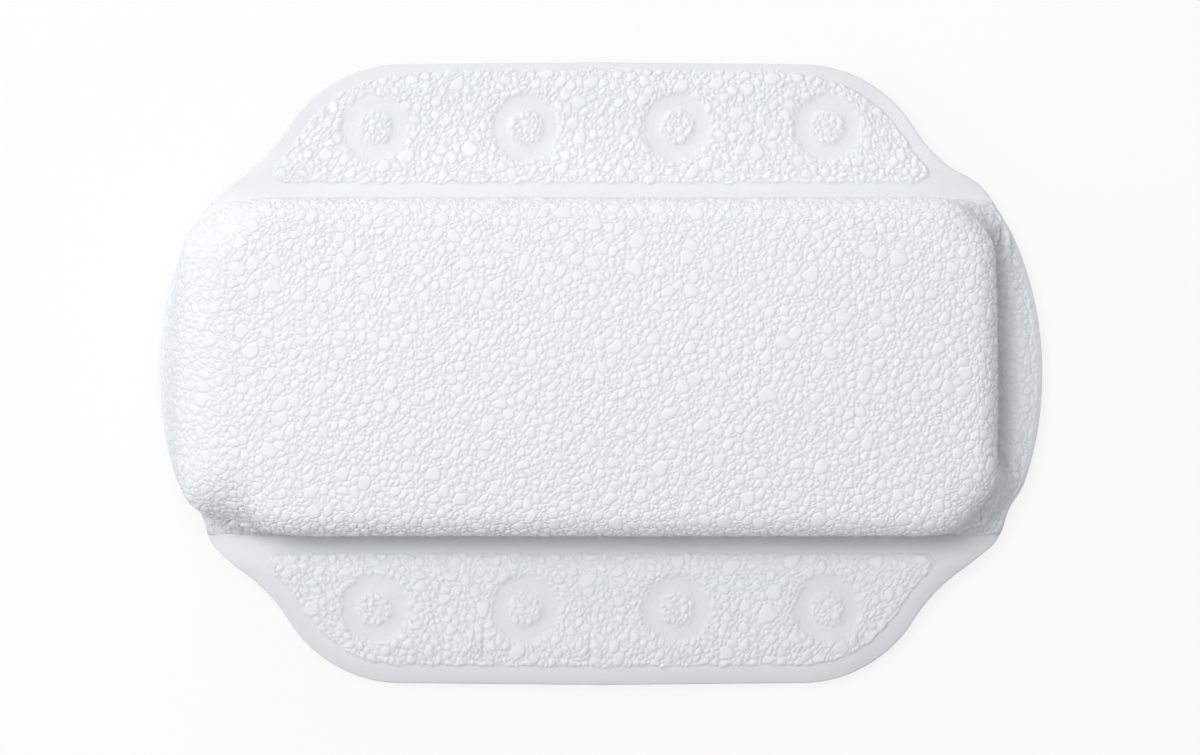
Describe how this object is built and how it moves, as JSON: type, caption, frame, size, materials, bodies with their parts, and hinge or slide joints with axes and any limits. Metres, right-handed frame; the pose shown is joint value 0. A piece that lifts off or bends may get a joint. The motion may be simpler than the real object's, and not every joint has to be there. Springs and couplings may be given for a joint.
{
  "type": "bath pillow",
  "caption": "Bath pillow with a thick foam pad under an embossed vinyl cover, thin welded flaps that fold back along bands, and suction cups behind the flaps that hold it to a tub.",
  "frame": {"origin": "centre of the cut sheets' outline, in the plane of the suction cups' rims that the pillow lies on", "axes": "+X along the pad's length to the right in the picture, +Y towards the upper flap, +Z out of the pad's front face"},
  "size_m": [0.33, 0.233, 0.0526],
  "materials": {
    "embossed_vinyl": "white foamed vinyl with a pebbled emboss, satin, smooth where welded",
    "back_vinyl": "smooth white vinyl film, satin",
    "padding_foam": "open-cell foam",
    "cup_vinyl": "milky clear soft vinyl, glossy"
  },
  "bodies": {
    "pad": {"pad_front_cover": "embossed_vinyl", "foam_core": "padding_foam", "pad_back_sheet": "back_vinyl"},
    "upper_flap": {"upper_flap_front": "embossed_vinyl", "upper_flap_back": "back_vinyl"},
    "lower_flap": {"lower_flap_front": "embossed_vinyl", "lower_flap_back": "back_vinyl"},
    "upper_cup_1": {"upper_suction_cup_1": "cup_vinyl"},
    "upper_cup_2": {"upper_suction_cup_2": "cup_vinyl"},
    "upper_cup_3": {"upper_suction_cup_3": "cup_vinyl"},
    "upper_cup_4": {"upper_suction_cup_4": "cup_vinyl"},
    "lower_cup_1": {"lower_suction_cup_1": "cup_vinyl"},
    "lower_cup_2": {"lower_suction_cup_2": "cup_vinyl"},
    "lower_cup_3": {"lower_suction_cup_3": "cup_vinyl"},
    "lower_cup_4": {"lower_suction_cup_4": "cup_vinyl"}
  },
  "joints": [
    {"name": "upper_flap_fold", "type": "hinge", "parent": "pad", "child": "upper_flap", "pos_m": [0, 0.0681, 0.01055], "axis": [1, 0, 0], "range_deg": [-90, 75], "stiffness_Nm_per_rad": 0.5},
    {"name": "lower_flap_fold", "type": "hinge", "parent": "pad", "child": "lower_flap", "pos_m": [0, -0.0639, 0.01055], "axis": [-1, 0, 0], "range_deg": [-90, 75], "stiffness_Nm_per_rad": 0.5},
    {"name": "upper_cup_1_press", "type": "slide", "parent": "upper_flap", "child": "upper_cup_1", "axis": [0, 0, 1], "range_m": [0, 0.004], "stiffness_N_per_m": 1500, "deforming": ["upper_suction_cup_1"]},
    {"name": "upper_cup_2_press", "type": "slide", "parent": "upper_flap", "child": "upper_cup_2", "axis": [0, 0, 1], "range_m": [0, 0.004], "stiffness_N_per_m": 1500, "deforming": ["upper_suction_cup_2"]},
    {"name": "upper_cup_3_press", "type": "slide", "parent": "upper_flap", "child": "upper_cup_3", "axis": [0, 0, 1], "range_m": [0, 0.004], "stiffness_N_per_m": 1500, "deforming": ["upper_suction_cup_3"]},
    {"name": "upper_cup_4_press", "type": "slide", "parent": "upper_flap", "child": "upper_cup_4", "axis": [0, 0, 1], "range_m": [0, 0.004], "stiffness_N_per_m": 1500, "deforming": ["upper_suction_cup_4"]},
    {"name": "lower_cup_1_press", "type": "slide", "parent": "lower_flap", "child": "lower_cup_1", "axis": [0, 0, 1], "range_m": [0, 0.004], "stiffness_N_per_m": 1500, "deforming": ["lower_suction_cup_1"]},
    {"name": "lower_cup_2_press", "type": "slide", "parent": "lower_flap", "child": "lower_cup_2", "axis": [0, 0, 1], "range_m": [0, 0.004], "stiffness_N_per_m": 1500, "deforming": ["lower_suction_cup_2"]},
    {"name": "lower_cup_3_press", "type": "slide", "parent": "lower_flap", "child": "lower_cup_3", "axis": [0, 0, 1], "range_m": [0, 0.004], "stiffness_N_per_m": 1500, "deforming": ["lower_suction_cup_3"]},
    {"name": "lower_cup_4_press", "type": "slide", "parent": "lower_flap", "child": "lower_cup_4", "axis": [0, 0, 1], "range_m": [0, 0.004], "stiffness_N_per_m": 1500, "deforming": ["lower_suction_cup_4"]}
  ]
}
